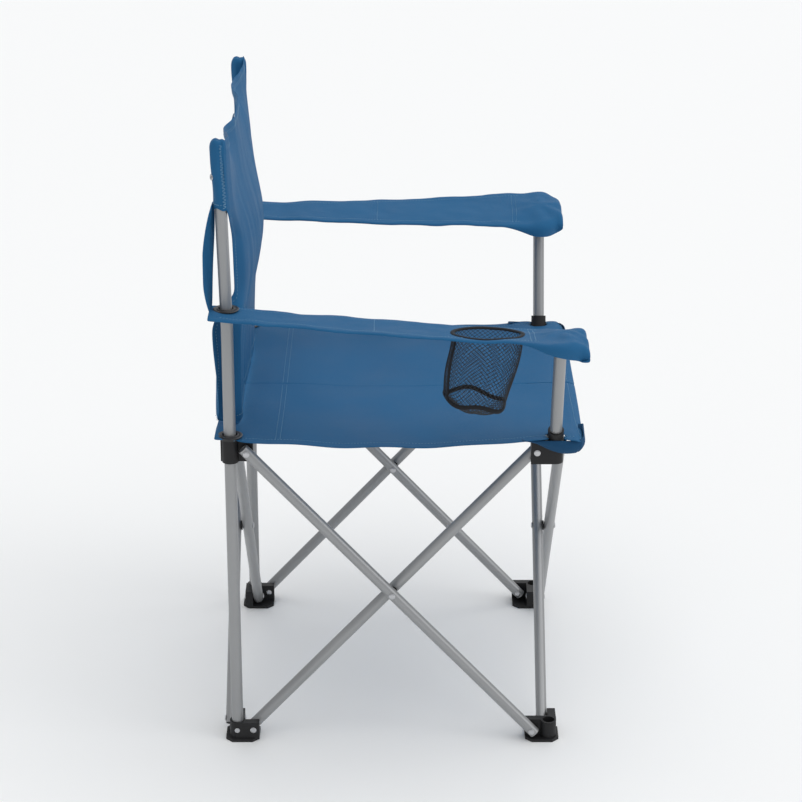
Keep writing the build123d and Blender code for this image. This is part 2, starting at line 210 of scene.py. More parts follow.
# Grommet rings.
# Black moulded rings line the holes where the back poles pass through seat and armrests.
# Each is turned from a rounded profile, with a raised lip round the bore.
ring_plastic = coated(
    "ring plastic", (0.01, 0.01, 0.011), (0.024, 0.024, 0.026), (0.3, 0.45), 900, 30, 0.0002
)
ring_segments = 48


def grommet(name):
    """Spin a rounded ring section about the frame ring's own axis."""
    low, high = (Vector(c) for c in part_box(name))
    middle = (low + high) / 2
    flange_r = (high.x - low.x) / 2
    bore_r = flange_r * 0.56
    neck_r = flange_r * 0.735
    lip_z = high.z + 0.0006
    ring = bmesh.new()
    section = [
        (bore_r, low.z), (bore_r, lip_z - 0.0004), (bore_r + 0.0008, lip_z),
        (bore_r + 0.0022, lip_z - 0.0003), (neck_r, high.z - 0.0006), (flange_r - 0.0012, high.z - 0.0002),
        (flange_r, high.z - 0.0009), (flange_r - 0.0003, high.z - 0.0015), (neck_r, high.z - 0.0016),
        (neck_r, low.z),
    ]
    points = [ring.verts.new((middle.x + r, middle.y, z)) for r, z in section]
    loop = [ring.edges.new((a, b)) for a, b in zip(points, points[1:] + points[:1])]
    bmesh.ops.spin(
        ring, geom=points + loop, cent=middle, axis=(0, 0, 1), angle=2 * math.pi,
        steps=ring_segments, use_merge=True,
    )
    bmesh.ops.remove_doubles(ring, verts=ring.verts, dist=1e-6)
    bmesh.ops.recalc_face_normals(ring, faces=ring.faces)
    mesh = bpy.data.meshes.new(name + "_turned")
    ring.to_mesh(mesh)
    ring.free()
    thing = bpy.data.objects.new(name + "_turned", mesh)
    bpy.context.collection.objects.link(thing)
    mesh.materials.append(ring_plastic)
    smooth_by_angle(thing, 50)
    return thing


for place, bodies in (
    ("seat", {"right": "right_slider", "left": "left_slider"}),
    ("arm", {"right": "right_arm_ring", "left": "left_arm_ring"}),
):
    for side, body in bodies.items():
        ring_name = f"{place}_ring_{side}"
        turned = grommet(ring_name)
        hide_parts(ring_name)
        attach(turned, body)

# Seat.
# One panel of coated polyester hung between the rear rings and the front hubs, hemmed all round.
# A simulation hangs it, about a third of the sag is kept, and it is split in the middle, where it folds.
cloth_step = 0.0075
cloth_wall = 0.0014
slub_size = 260
cloth_patch_size = 11
foot_reach_forward = 0.009
half_spacing = (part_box("back_pole_left")[1][0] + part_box("back_pole_left")[0][0]) / 2
frame_front_y = (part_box("foot_front_left")[0][1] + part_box("foot_front_left")[1][1]) / 2 - foot_reach_forward
rear_pole_y = (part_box("seat_ring_left")[0][1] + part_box("seat_ring_left")[1][1]) / 2

weave, weave_in, weave_out = new_group(
    "plain weave",
    [("Vector", "Vector", None), ("Threads", "Float", 1500.0)],
    [("Height", "Float"), ("Tint", "Float")],
)


def group_math(group, operation, first, second=None):
    """One Math node in a group, fed by sockets or numbers."""
    node = group.nodes.new("ShaderNodeMath")
    node.operation = operation
    for socket, value in zip(node.inputs, (first, second)):
        if value is None:
            continue
        if isinstance(value, (int, float)):
            socket.default_value = value
        else:
            group.links.new(value, socket)
    return node.outputs[0]


weave_split = weave.nodes.new("ShaderNodeSeparateXYZ")
weave.links.new(weave_in.outputs["Vector"], weave_split.inputs[0])
warp_turn = group_math(weave, "MULTIPLY", weave_split.outputs["X"], weave_in.outputs["Threads"])
weft_turn = group_math(weave, "MULTIPLY", weave_split.outputs["Y"], weave_in.outputs["Threads"])
warp_sine = group_math(weave, "SINE", warp_turn)
weft_sine = group_math(weave, "SINE", weft_turn)
over_under = group_math(weave, "MULTIPLY", warp_sine, weft_sine)
thread_round = group_math(
    weave, "ADD", group_math(weave, "ABSOLUTE", warp_sine), group_math(weave, "ABSOLUTE", weft_sine)
)
thread_height = group_math(weave, "MULTIPLY_ADD", over_under, 0.5)
weave.links.new(thread_round, thread_height.node.inputs[2])
weave.links.new(thread_height, weave_out.inputs["Height"])
weave.links.new(over_under, weave_out.inputs["Tint"])


def woven(name, dark, light, threads, roughness, sheen, weave_depth=0.00012):
    """Cloth: a plain weave on the piece's own UV map in metres, with soft patches of wear."""
    cloth = bpy.data.materials.new(name)
    cloth.use_nodes = True
    tree = cloth.node_tree
    shader = tree.nodes["Principled BSDF"]
    shader.inputs["Sheen Weight"].default_value = sheen
    shader.inputs["Sheen Roughness"].default_value = 0.45
    shader.inputs["Sheen Tint"].default_value = (0.42, 0.7, 1.0, 1)
    shader.inputs["Specular IOR Level"].default_value = 0.1
    place = tree.nodes.new("ShaderNodeTexCoord")
    threads_node = tree.nodes.new("ShaderNodeGroup")
    threads_node.node_tree = weave
    threads_node.inputs["Threads"].default_value = threads
    tree.links.new(place.outputs["UV"], threads_node.inputs["Vector"])
    wear, tone = patchy(tree, shader, slub_size, cloth_patch_size, dark, light, roughness)
    thread_tone = tree.nodes.new("ShaderNodeMix")
    thread_tone.data_type = "RGBA"
    thread_tone.blend_type = "MULTIPLY"
    thread_tone.inputs["B"].default_value = (0.72, 0.76, 0.8, 1)
    thread_share = tree.nodes.new("ShaderNodeMapRange")
    thread_share.inputs["From Min"].default_value = -1
    thread_share.inputs["To Max"].default_value = 0.5
    tree.links.new(threads_node.outputs["Tint"], thread_share.inputs["Value"])
    tree.links.new(thread_share.outputs["Result"], thread_tone.inputs["Factor"])
    tree.links.new(tone, thread_tone.inputs["A"])
    tree.links.new(thread_tone.outputs["Result"], shader.inputs["Base Color"])
    thread_bump = tree.nodes.new("ShaderNodeBump")
    thread_bump.inputs["Strength"].default_value = 0.54
    thread_bump.inputs["Distance"].default_value = weave_depth
    tree.links.new(threads_node.outputs["Height"], thread_bump.inputs["Height"])
    slub_bump = tree.nodes.new("ShaderNodeBump")
    slub_bump.inputs["Strength"].default_value = 0.25
    slub_bump.inputs["Distance"].default_value = 0.0006
    tree.links.new(wear.outputs["Grain"], slub_bump.inputs["Height"])
    tree.links.new(thread_bump.outputs["Normal"], slub_bump.inputs["Normal"])
    tree.links.new(slub_bump.outputs["Normal"], shader.inputs["Normal"])
    return cloth


blue_cloth = woven("blue polyester", (0.017, 0.112, 0.256), (0.025, 0.14, 0.302), 4200, (0.5, 0.66), 0.06)


def flat_sheet(width, length, step=cloth_step):
    """A grid lying flat about the origin, with its UV map in metres."""
    sheet = bmesh.new()
    bmesh.ops.create_grid(
        sheet, x_segments=round(width / step), y_segments=round(length / step), size=0.5,
    )
    bmesh.ops.scale(sheet, vec=(width, length, 1), verts=sheet.verts)
    chart = sheet.loops.layers.uv.new("UVMap")
    for face in sheet.faces:
        for corner in face.loops:
            corner[chart].uv = corner.vert.co.xy
    return sheet


def ripple(point, size, depth, seed):
    """A smooth random height at a point, the same on each run."""
    return depth * noise.noise(Vector(point) / size + Vector((seed, 2 * seed, 3 * seed)))


def into_scene(work, name, *finishes):
    """Turn a finished bmesh into an object with its finishes."""
    bmesh.ops.recalc_face_normals(work, faces=work.faces)
    mesh = bpy.data.meshes.new(name)
    work.to_mesh(mesh)
    work.free()
    thing = bpy.data.objects.new(name, mesh)
    bpy.context.collection.objects.link(thing)
    for finish in finishes:
        mesh.materials.append(finish)
    mesh.shade_smooth()
    return thing


def bake(thing):
    """Apply every modifier to a piece's mesh."""
    graph = bpy.context.evaluated_depsgraph_get()
    done = bpy.data.meshes.new_from_object(
        thing.evaluated_get(graph), preserve_all_data_layers=True, depsgraph=graph,
    )
    thing.modifiers.clear()
    thing.data = done


def hang(thing, is_held, frames, slack, stiffness=18.0):
    """Let a sheet fall between the points that hold it, and keep the shape that it settles to."""
    held = thing.vertex_groups.new(name="held")
    held.add([v.index for v in thing.data.vertices if is_held(v.co)], 1.0, "REPLACE")
    fall = thing.modifiers.new("cloth", "CLOTH")
    rules = fall.settings
    rules.quality = 7
    rules.mass = 0.22
    rules.tension_stiffness = stiffness
    rules.compression_stiffness = stiffness
    rules.shear_stiffness = stiffness / 2
    rules.bending_stiffness = 0.6
    rules.air_damping = 4.0
    rules.vertex_group_mass = "held"
    rules.shrink_min = -slack
    fall.collision_settings.use_collision = False
    fall.point_cache.frame_start = 1
    fall.point_cache.frame_end = frames
    for number in range(1, frames + 1):
        bpy.context.scene.frame_set(number)
    bake(thing)
    bpy.context.scene.frame_set(1)
    thing.vertex_groups.clear()


def thicken(thing, thickness, rounds=1):
    """Give a sheet its thickness and smooth its facets."""
    wall = thing.modifiers.new("thickness", "SOLIDIFY")
    wall.thickness = thickness
    wall.offset = 0.0
    if rounds:
        soft = thing.modifiers.new("soft", "SUBSURF")
        soft.levels = rounds
        soft.render_levels = rounds
    bake(thing)
    thing.data.shade_smooth()


seat_low, seat_high = (Vector(c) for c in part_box("seat_left"))
seat_half_width = seat_high.x
seat_length = seat_high.y - seat_low.y
seat_mid_y = (seat_high.y + seat_low.y) / 2
seat_top_z = seat_high.z
seat_corner_cut = 0.013
seat_hold_r = 0.032
seat_frames = 30
seat_slack = -0.003
seat_sag_kept = 0.36

seat_bm = flat_sheet(2 * seat_half_width, seat_length)
for side in (-1, 1):
    bmesh.ops.bisect_plane(
        seat_bm, geom=seat_bm.verts[:] + seat_bm.edges[:] + seat_bm.faces[:],
        plane_co=(side * (seat_half_width - seat_corner_cut), -seat_length / 2, 0),
        plane_no=(side, -1, 0), clear_outer=True,
    )
for v in seat_bm.verts:
    across = abs(v.co.x) / seat_half_width
    v.co.z = ripple(v.co, 0.09, 0.004, 3) + 0.002 * math.sin(v.co.y * 55) * across ** 3
bmesh.ops.translate(seat_bm, vec=(0, seat_mid_y, seat_top_z - 0.0015), verts=seat_bm.verts)
whole_seat = into_scene(seat_bm, "whole_seat", blue_cloth)
seat_holds = [
    Vector((side * x, y, 0)) for side in (-1, 1)
    for x, y in ((half_spacing, rear_pole_y), (half_spacing + 0.002, frame_front_y))
]


def seat_is_held(point):
    """True near the rear rings and the front hubs."""
    return any((point.xy - hold.xy).length < seat_hold_r for hold in seat_holds)


taut = [v.co.copy() for v in whole_seat.data.vertices]
hang(whole_seat, seat_is_held, seat_frames, seat_slack)
for v, was in zip(whole_seat.data.vertices, taut):
    v.co = was.lerp(v.co, seat_sag_kept)

hem_width = 0.014
rear_seam_y = seat_high.y - 0.08
seam_rows_apart = 0.006
pole_hole_r = 0.0128
seat_bodies = {"right": "right_seat", "left": "left_seat"}


def thread_run(cloth_tree, lines, name, tone, length=0.0026, radius=0.00042):
    """Rows of short raised stitches laid on both faces of a sheet, along lines of points."""
    row = bmesh.new()
    for start, end in [pair for line in lines for pair in zip(line, line[1:])]:
        middle = (start + end) / 2
        spot = cloth_tree.find_nearest(middle)
        if spot[0] is None:
            continue
        along = (end - start).normalized()
        across = spot[1].cross(along).normalized()
        turn = Matrix((along, across, spot[1])).transposed().to_4x4()
        for face in (1, -1):
            lift = spot[1] * (0.0008 * face)
            bmesh.ops.create_icosphere(
                row, subdivisions=1, radius=1.0,
                matrix=Matrix.Translation(spot[0] + lift) @ turn
                @ Matrix.Diagonal((length / 2, radius, radius, 1)),
            )
    return into_scene(row, name, tone)


def sheet_tree(thing):
    """A finished sheet, ready to be touched at its nearest point."""
    surface = bmesh.new()
    surface.from_mesh(thing.data)
    tree = BVHTree.FromBMesh(surface)
    surface.free()
    return tree


def spaced(start, end, step=0.0042):
    """Points at even spacing on a straight run."""
    count = max(2, round((end - start).length / step))
    return [start.lerp(end, i / count) for i in range(count + 1)]


stitch_thread = coated("pale thread", (0.12, 0.27, 0.42), (0.2, 0.38, 0.55), (0.5, 0.7), 800, 30, 0.0001)


def cut_hole(sheet, centre, radius_x, radius_y):
    """Open an oval hole in a sheet, straight down, with its edge drawn on to the oval."""
    inside = {
        v for v in sheet.verts
        if math.hypot((v.co.x - centre.x) / radius_x, (v.co.y - centre.y) / radius_y) < 0.9
    }
    lost = [f for f in sheet.faces if any(v in inside for v in f.verts)]
    rim = {v for f in lost for v in f.verts} - inside
    bmesh.ops.delete(sheet, geom=lost, context="FACES")
    for v in rim:
        if v.is_valid:
            share = math.hypot((v.co.x - centre.x) / radius_x, (v.co.y - centre.y) / radius_y)
            v.co.xy = centre.xy + (v.co.xy - centre.xy) / share


for side, sign in (("right", -1), ("left", 1)):
    part = whole_seat.copy()
    part.data = whole_seat.data.copy()
    part.name = f"seat_{side}_cloth"
    bpy.context.collection.objects.link(part)
    half_bm = bmesh.new()
    half_bm.from_mesh(part.data)
    bmesh.ops.bisect_plane(
        half_bm, geom=half_bm.verts[:] + half_bm.edges[:] + half_bm.faces[:],
        plane_co=(0, 0, 0), plane_no=(-sign, 0, 0), clear_outer=True,
    )
    rear_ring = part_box(f"seat_ring_{side}")
    cut_hole(half_bm, (rear_ring[0] + rear_ring[1]) / 2, pole_hole_r, pole_hole_r)
    cut_hole(half_bm, Vector((sign * half_spacing * 1.01, frame_front_y, 0)), pole_hole_r, pole_hole_r)
    half_bm.to_mesh(part.data)
    half_bm.free()
    tree = sheet_tree(part)
    thicken(part, cloth_wall)
    edge_x = sign * (seat_half_width - hem_width)
    front_z = seat_top_z - 0.012
    back_corner = Vector((edge_x, seat_high.y - hem_width, front_z))
    front_corner = Vector((edge_x, seat_low.y + seat_corner_cut, front_z))
    cut_corner = Vector((sign * (seat_half_width - seat_corner_cut), seat_low.y + hem_width, front_z))
    front_middle = Vector((sign * 0.004, seat_low.y + hem_width, front_z))
    rows = [spaced(back_corner, front_corner), spaced(front_corner, cut_corner)]
    rows.append(spaced(cut_corner, front_middle))
    for seam_y in (rear_seam_y, rear_seam_y - seam_rows_apart):
        rows.append(spaced(Vector((edge_x, seam_y, front_z)), Vector((sign * 0.004, seam_y, front_z))))
    stitches = thread_run(tree, rows, f"seat_{side}_stitches", stitch_thread)
    for piece in (part, stitches):
        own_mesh(piece)
        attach(piece, seat_bodies[side])
    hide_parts(f"seat_{side}")
bpy.data.objects.remove(whole_seat)

# Armrests.
# Each is one long strip of the same cloth, hung between the back pole's ring and the arm pole.
# It leans in towards the sitter, and its front end is folded under into a pocket over the pole.
arm_front_w = 0.104
arm_rear_w = 0.056
arm_lean_front = math.radians(11)
arm_lean_rear = math.radians(3)
arm_sag = 0.006
nose_r = 0.0105
nose_under = 0.034
pocket_length = 0.084
pocket_side = 0.031
side_hem = 0.004
arm_bodies = {"right": "right_connector", "left": "left_connector"}
arm_cover = {}


def ease(share):
    """0 to 1 with a soft start and end."""
    share = min(max(share, 0.0), 1.0)
    return share * share * (3 - 2 * share)


def over_edge(past, radius, most):
    """How far out and down cloth lies that is past the edge it is folded over."""
    turn = min(past / radius, most)
    rest = past - turn * radius
    out = radius * math.sin(turn) + rest * math.cos(turn)
    return out, radius * (1 - math.cos(turn)) + rest * math.sin(turn)


for side, sign in (("right", -1), ("left", 1)):
    arm_low, arm_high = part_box(f"armrest_{side}")
    plug_low, plug_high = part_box(f"arm_plug_{side}")
    pole_top = (plug_low + plug_high) / 2
    arm_length = arm_high.y - arm_low.y
    outer_x = max(abs(arm_low.x), abs(arm_high.x))
    front_mid = sign * (outer_x - arm_front_w / 2)
    rear_mid = sign * (half_spacing + 0.008)
    front_z = plug_high.z + 0.0035
    rear_z = arm_high.z - 0.0005
    arm_bm = flat_sheet(arm_front_w + 2 * pocket_side, arm_length + nose_under, 0.0048)
    half_sheet = arm_front_w / 2 + pocket_side
    for v in arm_bm.verts:
        ahead = v.co.y + (arm_length + nose_under) / 2 - nose_under
        share = min(max(ahead / arm_length, 0.0), 1.0)
        pocket = 1 - ease(ahead / pocket_length)
        half_w = (arm_front_w + (arm_rear_w - arm_front_w) * share) / 2
        half_w -= 0.02 * max(0.0, 1 - max(ahead, 0) / 0.036) ** 2
        half_w += 0.0012 * math.sin(ahead * 70 + 2 * sign)
        folded = side_hem + (pocket_side - side_hem) * pocket
        across = v.co.x / half_sheet * (half_w + folded)
        past = max(abs(across) - half_w, 0.0)
        out, down = over_edge(past, 0.0025 + 0.0085 * pocket, math.radians(80 + 30 * pocket))
        down *= ease(1 + min(ahead, 0.0) / 0.03)
        flat = math.copysign(min(abs(across), half_w) + out, across)
        lean = arm_lean_rear + (arm_lean_front - arm_lean_rear) * (1 - share) * ease(ahead / 0.05 + 0.35)
        nose_out, nose_down = over_edge(max(-ahead, 0.0), nose_r, math.radians(172))
        y = arm_low.y + nose_r + max(ahead, 0.0) * (arm_length - nose_r) / arm_length - nose_out
        middle = front_mid + (rear_mid - front_mid) * share
        z = front_z + (rear_z - front_z) * ease(ahead / arm_length) ** 0.8
        z -= arm_sag * 4 * share * (1 - share) + down + nose_down
        z += sign * flat * math.sin(lean)
        x = middle + flat * math.cos(lean)
        reach = math.hypot(x - pole_top.x, y - pole_top.y)
        z += 0.0055 * math.exp(-((reach / 0.03) ** 2)) * (1 if ahead > 0 else 0.2)
        bearing = math.atan2(y - pole_top.y, x - pole_top.x)
        crease = math.exp(-(((reach - 0.04) / 0.026) ** 2)) * pocket
        z += 0.0022 * math.sin(6 * bearing + 1 + sign) * crease
        z += ripple((x, y, 0), 0.05, 0.0022, 7 + sign) + ripple((x, y, 0), 0.02, 0.0007 + 0.0016 * pocket, 4)
        x += ripple((x, y, z), 0.03, 0.0025 * pocket, 11)
        v.co = (x, y, z)
    arm = into_scene(arm_bm, f"armrest_{side}_cloth", blue_cloth)
    arm_cover[side] = sheet_tree(arm)
    cut_bm = bmesh.new()
    cut_bm.from_mesh(arm.data)
    ring_low, ring_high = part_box(f"arm_ring_{side}")
    cut_hole(cut_bm, (ring_low + ring_high) / 2, pole_hole_r, pole_hole_r)
    if side == "right":
        rim_low, rim_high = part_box("cup_rim")
        cup_mid = (rim_low + rim_high) / 2
        cut_hole(cut_bm, cup_mid, (rim_high.x - rim_low.x) / 2, (rim_high.y - rim_low.y) / 2)
    cut_bm.to_mesh(arm.data)
    cut_bm.free()

    def on_strip(share, edge, inset):
        """A point above the strip, inset from its edge on one side."""
        half_w = (arm_front_w + (arm_rear_w - arm_front_w) * share) / 2 - inset
        x = front_mid + (rear_mid - front_mid) * share + edge * half_w
        return Vector((x, arm_low.y + share * arm_length, front_z + (rear_z - front_z) * share))

    rows = [spaced(on_strip(0.13, edge, 0.007), on_strip(0.97, edge, 0.007)) for edge in (-1, 1)]
    for across_share in (0.14, 0.152, 0.56):
        rows.append(spaced(on_strip(across_share, -1, 0.006), on_strip(across_share, 1, 0.006)))
    rows = [[p for p in row if arm_cover[side].ray_cast(Vector((p.x, p.y, 1)), Vector((0, 0, -1)))[0]]
            for row in rows]
    thread = thread_run(sheet_tree(arm), rows, f"armrest_{side}_stitches", stitch_thread)
    thicken(arm, cloth_wall)
    for piece in (arm, thread):
        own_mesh(piece)
        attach(piece, arm_bodies[side])
    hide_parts(f"armrest_{side}")

# Cup pocket.
# A bag of knotted black net hangs from an oval hole in the right armrest.
# Black tape binds the hole, the bag's one upright seam and the edge of its floor.
tape = woven("black tape", (0.012, 0.012, 0.014), (0.03, 0.029, 0.03), 3000, (0.55, 0.75), 0.08, 0.0002)
net_cord = coated("net cord", (0.012, 0.014, 0.018), (0.03, 0.032, 0.036), (0.5, 0.7), 1500, 60, 0.0001)
cup_x = (rim_high.x - rim_low.x) / 2 - 0.001
cup_y = (rim_high.y - rim_low.y) / 2 - 0.001
bag_top = rim_high.z - 0.016
net_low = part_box("cup_net")[0]
bag_depth = bag_top - net_low.z - 0.012
cup_cell = 0.0043
cord_d = 0.0009
seam_turn = math.radians(118)


def bag_wall(turn, down):
    """A point of the bag's wall, from a turn round the hole and a share of its depth."""
    down = min(max(down, 0.0), 1.0)
    slack = math.sin(math.pi * down)
    lean_back = 0.016 * down ** 1.2
    bulge = 1 + 0.05 * slack + 0.035 * math.sin(3 * turn + 4 * down) * slack
    x = cup_mid.x + cup_x * bulge * math.cos(turn) * (1 - 0.10 * down)
    y = cup_mid.y + lean_back + cup_y * bulge * math.sin(turn) * (1 - 0.12 * down)
    rim_z = arm_cover["right"].ray_cast(
        Vector((cup_mid.x + cup_x * math.cos(turn), cup_mid.y + cup_y * math.sin(turn), 1)),
        Vector((0, 0, -1)),
    )[0].z
    floor_z = net_low.z + 0.018 + 0.007 * math.sin(turn) + 0.003 * math.sin(4 * turn + 1)
    return Vector((x, y, rim_z - 0.001 + (floor_z - rim_z) * down))


def diamond_net(width, length):
    """A flat net of square meshes set on their points, about the origin."""
    net = bmesh.new()
    span = width + length
    cells = round(span / cup_cell)
    bmesh.ops.create_grid(net, x_segments=cells, y_segments=cells, size=span / 2)
    bmesh.ops.rotate(net, verts=net.verts, matrix=Matrix.Rotation(math.radians(45), 3, "Z"))
    for normal, reach in (((1, 0, 0), width), ((-1, 0, 0), width), ((0, 1, 0), length), ((0, -1, 0), length)):
        bmesh.ops.bisect_plane(
            net, geom=net.verts[:] + net.edges[:] + net.faces[:],
            plane_co=Vector(normal) * reach / 2, plane_no=normal, clear_outer=True,
        )
    return net


def knit(net, name):
    """Turn a net's edges into cords."""
    made = into_scene(net, name, net_cord)
    cords = made.modifiers.new("cords", "WIREFRAME")
    cords.thickness = cord_d
    cords.use_even_offset = False
    cords.use_boundary = True
    bake(made)
    made.data.shade_smooth()
    return made


girth = math.pi * (cup_x + cup_y)
wall_bm = diamond_net(girth, bag_depth)
for v in wall_bm.verts:
    v.co = bag_wall(seam_turn + math.pi + v.co.x / girth * math.tau, 0.5 - v.co.y / bag_depth)
bag = knit(wall_bm, "cup_bag_net")

floor_net_bm = diamond_net(2 * cup_x, 2 * cup_y)
for number in range(20):
    turn = math.tau * number / 20
    normal = Vector((math.cos(turn) / cup_x, math.sin(turn) / cup_y, 0))
    bmesh.ops.bisect_plane(
        floor_net_bm, geom=floor_net_bm.verts[:] + floor_net_bm.edges[:] + floor_net_bm.faces[:],
        plane_co=(cup_x * math.cos(turn), cup_y * math.sin(turn), 0), plane_no=normal, clear_outer=True,
    )
for v in floor_net_bm.verts:
    reach = min(math.hypot(v.co.x / cup_x, v.co.y / cup_y), 1.0)
    turn = math.atan2(v.co.y / cup_y, v.co.x / cup_x)
    edge = bag_wall(turn, 1.0)
    hub = Vector((cup_mid.x, cup_mid.y + 0.016, net_low.z + 0.012))
    v.co = hub.lerp(edge, reach)
    v.co.z -= 0.014 * (1 - reach ** 2)
bag_floor = knit(floor_net_bm, "cup_floor_net")


def tape_run(points, name, width, thick, closed):
    """A flat tape swept along points, its width lying along a given direction at each."""
    band = bmesh.new()
    loops = []
    for number, (point, broad) in enumerate(points):
        ahead = points[(number + 1) % len(points)][0] if closed or number + 1 < len(points) else point
        behind = points[number - 1][0] if closed or number else point
        along = (ahead - behind).normalized()
        broad = (broad - along * broad.dot(along)).normalized()
        face = along.cross(broad)
        ring = bmesh.ops.create_circle(band, segments=8, radius=1.0)["verts"]
        bmesh.ops.transform(
            band, verts=ring,
            matrix=Matrix.Translation(point) @ Matrix((broad, face, along)).transposed().to_4x4()
            @ Matrix.Diagonal((width / 2, thick / 2, 1, 1)),
        )
        loops.append(list({e for v in ring for e in v.link_edges}))
    pairs = list(zip(loops, loops[1:])) + ([(loops[-1], loops[0])] if closed else [])
    for first, second in pairs:
        bmesh.ops.bridge_loops(band, edges=first + second)
    if not closed:
        bmesh.ops.holes_fill(band, edges=loops[0] + loops[-1])
    chart = band.loops.layers.uv.new("UVMap")
    for face in band.faces:
        for corner in face.loops:
            corner[chart].uv = (corner.vert.co.y, corner.vert.co.x + corner.vert.co.z)
    return into_scene(band, name, tape)


around = [math.tau * number / 64 for number in range(64)]
outwards = [Vector((math.cos(turn), math.sin(turn), 0)) for turn in around]
rim_points = [(bag_wall(turn, 0) + Vector((0, 0, 0.0012)), way) for turn, way in zip(around, outwards)]
rim_tape = tape_run(rim_points, "cup_rim_tape", 0.0062, 0.0034, True)
floor_points = [(bag_wall(turn, 1.0), Vector((0, 0, 1))) for turn in around]
floor_tape = tape_run(floor_points, "cup_floor_tape", 0.0062, 0.0026, True)
seam_points = [
    (bag_wall(seam_turn, number / 16) + Vector((0, 0.0012, 0)), Vector((1, 0.3, 0))) for number in range(17)
]
seam_tape = tape_run(seam_points, "cup_seam_tape", 0.0085, 0.0024, False)
for piece in (bag, bag_floor, rim_tape, floor_tape, seam_tape):
    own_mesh(piece)
    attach(piece, arm_bodies["right"])
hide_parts("cup_net")
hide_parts("cup_rim")

# Back.
# One slack panel of the seat's cloth between the back poles, with a closed sleeve over each pole's top.
# Its top hem is wavy; its edges draw in below the sleeves and pass behind the poles at the bottom.
back_low, back_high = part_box("backrest")
pole_lean = math.tan(math.radians(1.3))
sleeve_depth = 0.092
back_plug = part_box("back_plug_left")
straight_y = rear_pole_y
plug_y = (back_plug[0].y + back_plug[1].y) / 2
bend_z = back_plug[1].z - (plug_y - straight_y) / pole_lean
sleeve_low_z = back_high.z - sleeve_depth
pole_r = 0.008
sleeve_r = 0.0094
back_gap = 0.0034
back_draw_in = 0.026
wrap_length = 0.044
wrap_reach = 0.0145
wrap_depth = 0.026
sleeve_closing = 0.012
seam_stitch = 0.006
eyelet_rise = 0.042


def pole_line(z):
    """The back pole's axis at a height."""
    return straight_y + max(0.0, z - bend_z) * pole_lean


def back_point(across, z):
    """A point of the back panel, from a share across it (-1 to 1) and a height."""
    wrapped = ease((bend_z + 0.03 - z) / 0.05) * ease((z - back_low.z) / 0.03 + 0.2)
    free_w = half_spacing + 0.0075 - (back_draw_in + 0.018) * ease((sleeve_low_z + 0.004 - z) / 0.062)
    arc = abs(across) * (free_w + wrap_length * wrapped)
    past = max(arc - free_w, 0.0)
    flow = past / wrap_length
    x = min(arc, free_w)
    x += (wrap_reach * ease(flow * 1.6) + wrap_depth * max(flow - 0.5, 0) * 2 * 0.62) * (past > 0)
    behind = (wrap_depth * ease(flow / 0.62) + 0.003 * math.sin(flow * 9 + 30 * z)) * (past > 0)
    on_pole = max(x - half_spacing, 0.0) * ease((z - sleeve_low_z + 0.02) / 0.02)
    behind += sleeve_r + 0.0012 - math.sqrt((sleeve_r + 0.0012) ** 2 - on_pole ** 2)
    inside = 1 - (min(arc, free_w) / free_w) ** 2
    forward = 0.016 * math.exp(-(((z - 0.67) / 0.075) ** 2)) * (1 - across ** 4)
    forward += 0.008 * inside * math.sin(math.pi * (z - back_low.z) / 0.4) ** 2
    top = ease((z - sleeve_low_z - 0.02) / 0.07)
    spread = (1 - across) / 2
    wave = 0.016 * math.exp(-(((spread - 0.24) / 0.13) ** 2))
    wave += 0.0095 * math.exp(-(((spread - 0.75) / 0.09) ** 2))
    wave = (wave + 0.0012 * math.sin(23 * spread + 9 * z)) * top * (1 - across ** 8)
    folds = 0.004 * noise.noise(Vector((across * 4, z * 3.0, 1.7))) + 0.0022 * noise.noise(
        Vector((across * 11, z * 5.0, 4.1))
    )
    y = pole_line(z) - pole_r - back_gap * (1 - 0.6 * across ** 8) - forward + wave + behind
    y += folds * min(1, 6 * (1 - abs(across)) + 0.25)
    drop = 0.013 * inside * top + 0.004 * math.sin(11 * spread) * top * inside
    return Vector((math.copysign(x, across), y, z - drop))


panel_half = half_spacing + 0.014
panel_bm = flat_sheet(2 * panel_half, back_high.z - back_low.z, 0.0068)
panel_mid_z = (back_high.z + back_low.z) / 2
for v in panel_bm.verts:
    v.co = back_point(v.co.x / panel_half, panel_mid_z + v.co.y - 0.001 + 0.001 * math.sin(60 * v.co.x))
back = into_scene(panel_bm, "backrest_cloth", blue_cloth)
back_tree = sheet_tree(back)
hem_rows = []
for hem_drop in (0.011, 0.014):
    hem_rows.append([back_point(number / 48 - 1, back_high.z - hem_drop) for number in range(97)])
for edge in (-0.965, 0.965):
    hem_rows.append([back_point(edge, back_low.z + 0.01 + 0.0042 * number) for number in range(70)])
hem_rows.append([back_point(number / 48 - 1, back_low.z + 0.012) for number in range(97)])
back_thread = thread_run(back_tree, hem_rows, "backrest_stitches", stitch_thread)
thicken(back, cloth_wall)

